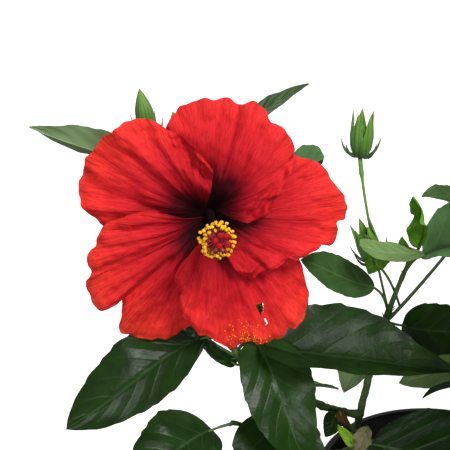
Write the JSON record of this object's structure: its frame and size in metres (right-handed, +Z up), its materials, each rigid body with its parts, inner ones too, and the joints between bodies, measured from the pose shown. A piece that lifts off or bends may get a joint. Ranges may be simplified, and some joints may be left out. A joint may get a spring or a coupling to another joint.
{
  "type": "potted hibiscus shrub",
  "caption": "Potted hibiscus shrub with glossy pointed leaves, upright green buds and a wide red bloom with a long yellow stamen column, in a round tapered black nursery pot.",
  "frame": {"origin": "centre of the pot's flat underside", "axes": "+Z up along the pot's axis, -Y towards the side that the bloom looks to, -X towards the side that the bloom leans out over"},
  "size_m": [0.4409, 0.3878, 0.3426],
  "materials": {
    "pot": "glossy black",
    "soil": "rough dark brown",
    "bark": "young green bark",
    "foliage": "glossy dark green",
    "petal": "soft bright red",
    "stamen": "yellow pollen"
  },
  "bodies": {
    "root": {"pot": "pot", "soil": "soil", "stem_left": "bark", "stem_centre": "bark", "stem_right": "bark", "stem_back": "bark", "bough_bloom": "bark", "bough_low_left": "bark", "bough_behind": "bark", "bough_front": "bark", "bough_right_low": "bark", "bough_back_low": "bark", "foliage_bloom": "foliage", "foliage_low_left": "foliage", "foliage_low_front": "foliage", "foliage_left_top": "foliage", "foliage_behind": "foliage", "foliage_low_centre": "foliage", "foliage_centre": "foliage", "foliage_right": "foliage", "foliage_back": "foliage", "foliage_front": "foliage", "foliage_right_low": "foliage", "foliage_back_low": "foliage", "bloom_petals": "petal", "bloom_column": "stamen"}
  },
  "joints": []
}
